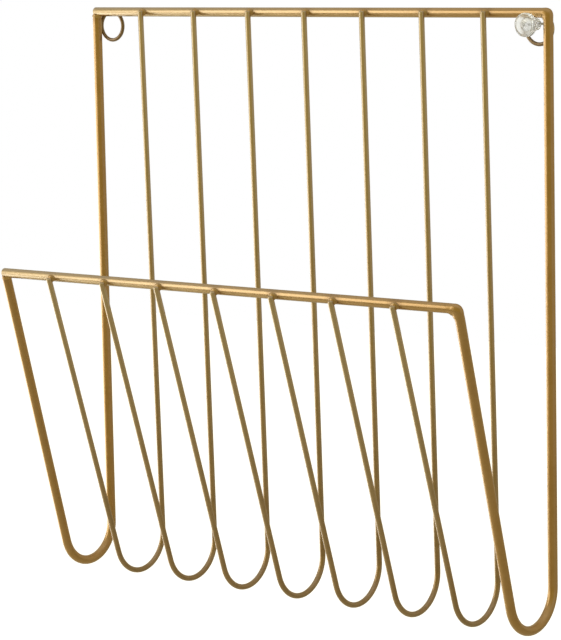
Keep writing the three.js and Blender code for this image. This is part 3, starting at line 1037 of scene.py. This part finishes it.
clear_plastic = bpy.data.materials.new("clear_moulded_plastic")
clear_plastic.use_nodes = True
tree = clear_plastic.node_tree
shader = tree.nodes["Principled BSDF"]
mould = add_group(tree, moulding, {"Place": add_node(tree, "ShaderNodeTexCoord").outputs["Object"]})
tree.links.new(mould.outputs["Tint"], shader.inputs["Base Color"])
milky = add_math(tree, "MULTIPLY_ADD", mould.outputs["Haze"], SCUFF_HAZE, MILKINESS)
tree.links.new(milky, shader.inputs["Roughness"])
shader.inputs["Metallic"].default_value = 0.0
shader.inputs["IOR"].default_value = 1.49
shader.inputs["Transmission Weight"].default_value = 0.9
shader.inputs["Coat Weight"].default_value = 0.8
shader.inputs["Coat Roughness"].default_value = 0.04
flowing = add_node(tree, "ShaderNodeBump", {
    "Height": mould.outputs["Flow"], "Strength": 0.25, "Distance": FLOW_DEPTH,
})
tree.links.new(flowing.outputs[0], shader.inputs["Normal"])
print("finish", clear_plastic.name, "has", len(tree.nodes), "nodes")

# %% Turn the clear body
PIN_STEPS = 72
DIMPLE = 1.1 * MM
DIMPLE_SLOPE = 0.3 * MM
DIMPLE_DEPTH = 0.25 * MM
ON_CIRCLE = 0.01 * MM
SPIKE_HOLD = 0.05 * MM

section = {
    "dimple_middle": (0, head_front + DIMPLE_DEPTH),
    "dimple_edge": (DIMPLE, head_front + DIMPLE_DEPTH),
    "dimple_rim": (DIMPLE + DIMPLE_SLOPE, head_front),
    "front_edge": (PIN_HEAD / 2, head_front),
    "back_edge": (PIN_HEAD / 2, head_back),
    "neck": (PIN_SHANK / 2, head_back),
    "foot": (PIN_SHANK / 2, 0),
    "hole_mouth": (SPIKE / 2 - SPIKE_HOLD, 0),
    "hole_floor": (SPIKE / 2 - SPIKE_HOLD, -SPIKE_GRIP + SPIKE_HOLD),
    "hole_middle": (0, -SPIKE_GRIP + SPIKE_HOLD),
}
rounding = {"dimple_rim": 0.2, "front_edge": 1.1, "back_edge": 1.1, "neck": 0.5, "foot": 0.25}


def circle_at(mesh, radius, y):
    """The edges of the turned piece that lie on the circle of this radius at this y."""
    def on_circle(vert):
        out = math.hypot(vert.co.x - pin_axis.x, vert.co.z - pin_axis.z)
        return abs(out - radius) < ON_CIRCLE and abs(vert.co.y - y) < ON_CIRCLE
    return [edge for edge in mesh.edges if on_circle(edge.verts[0]) and on_circle(edge.verts[1])]


mesh = bmesh.new()
corners = [mesh.verts.new(pin_axis + Vector((radius, y, 0))) for radius, y in section.values()]
outline = [mesh.edges.new(pair) for pair in zip(corners, corners[1:])]
bmesh.ops.spin(
    mesh, geom=corners + outline, cent=pin_axis, axis=INTO_WALL,
    angle=2 * math.pi, steps=PIN_STEPS, use_merge=True,
)
bmesh.ops.remove_doubles(mesh, verts=mesh.verts, dist=0.001 * MM)
bmesh.ops.recalc_face_normals(mesh, faces=mesh.faces)
for corner, size in rounding.items():
    bmesh.ops.bevel(
        mesh, geom=circle_at(mesh, *section[corner]), offset=size * MM, segments=6,
        profile=0.5, affect="EDGES", material=-1,
    )
make_piece("clear_pin_body", mesh, clear_plastic, "wall_pin", "wall_pin_body")

# %% [markdown]
# ## The steel point
# The point is a short piece of 1.2 mm steel wire, ground to a cone at the wall end, and its other end
# is cut square inside the plastic. It is wire too, so the same bender makes it: one feed, and a last
# one whose rim is scaled down.

# %% Bright drawn steel
STEEL_LINES = 9000.0
STEEL_LINE_DEPTH = 0.01 * MM
POLISH = 0.18
DULLER_ON_LINES = 0.12


def steel_finish(name):
    """Bright drawn steel: fine lines along it and a slightly uneven shine."""
    material = bpy.data.materials.new(name)
    material.use_nodes = True
    tree = material.node_tree
    shader = tree.nodes["Principled BSDF"]
    on_wire = add_node(tree, "ShaderNodeAttribute", attribute_name="straight_wire").outputs["Vector"]
    die = add_group(tree, drawn_lines, {"On straight wire": on_wire, "Lines per metre": STEEL_LINES})
    colour = add_mix(tree, die.outputs[0], (0.50, 0.50, 0.52, 1), (0.68, 0.68, 0.69, 1))
    tree.links.new(colour, shader.inputs["Base Color"])
    polished = add_math(tree, "MULTIPLY_ADD", die.outputs[0], DULLER_ON_LINES, POLISH)
    tree.links.new(polished, shader.inputs["Roughness"])
    shader.inputs["Metallic"].default_value = 1.0
    drawn = add_node(tree, "ShaderNodeBump", {
        "Height": die.outputs[0], "Strength": 0.5, "Distance": STEEL_LINE_DEPTH,
    })
    tree.links.new(drawn.outputs[0], shader.inputs["Normal"])
    print("finish", name, "has", len(tree.nodes), "nodes")
    return material


# %% Cut the steel wire and grind its point
SPIKE_SIDES = 24
POINT_BLUNTNESS = 0.06
SPIKE_EASING = 0.1 * MM

mesh = bmesh.new()
wire = WireBender(mesh, SPIKE, pin_axis - INTO_WALL * SPIKE_GRIP, INTO_WALL, SPIKE_SIDES)
wire.feed(SPIKE_GRIP + SPIKE_REACH - SPIKE_POINT)
wire.feed(SPIKE_POINT)
bmesh.ops.scale(
    mesh, verts=wire.verts_of(wire.rim), vec=(POINT_BLUNTNESS, 1, POINT_BLUNTNESS),
    space=Matrix.Translation(-wire.place),
)
wire.close_ends()
bmesh.ops.bevel(
    mesh, geom=wire.first_rim, offset=SPIKE_EASING, segments=2, profile=0.5, affect="EDGES", material=-1,
)
make_piece("steel_point", mesh, steel_finish("drawn_steel"), "wall_pin", "wall_pin_spike")
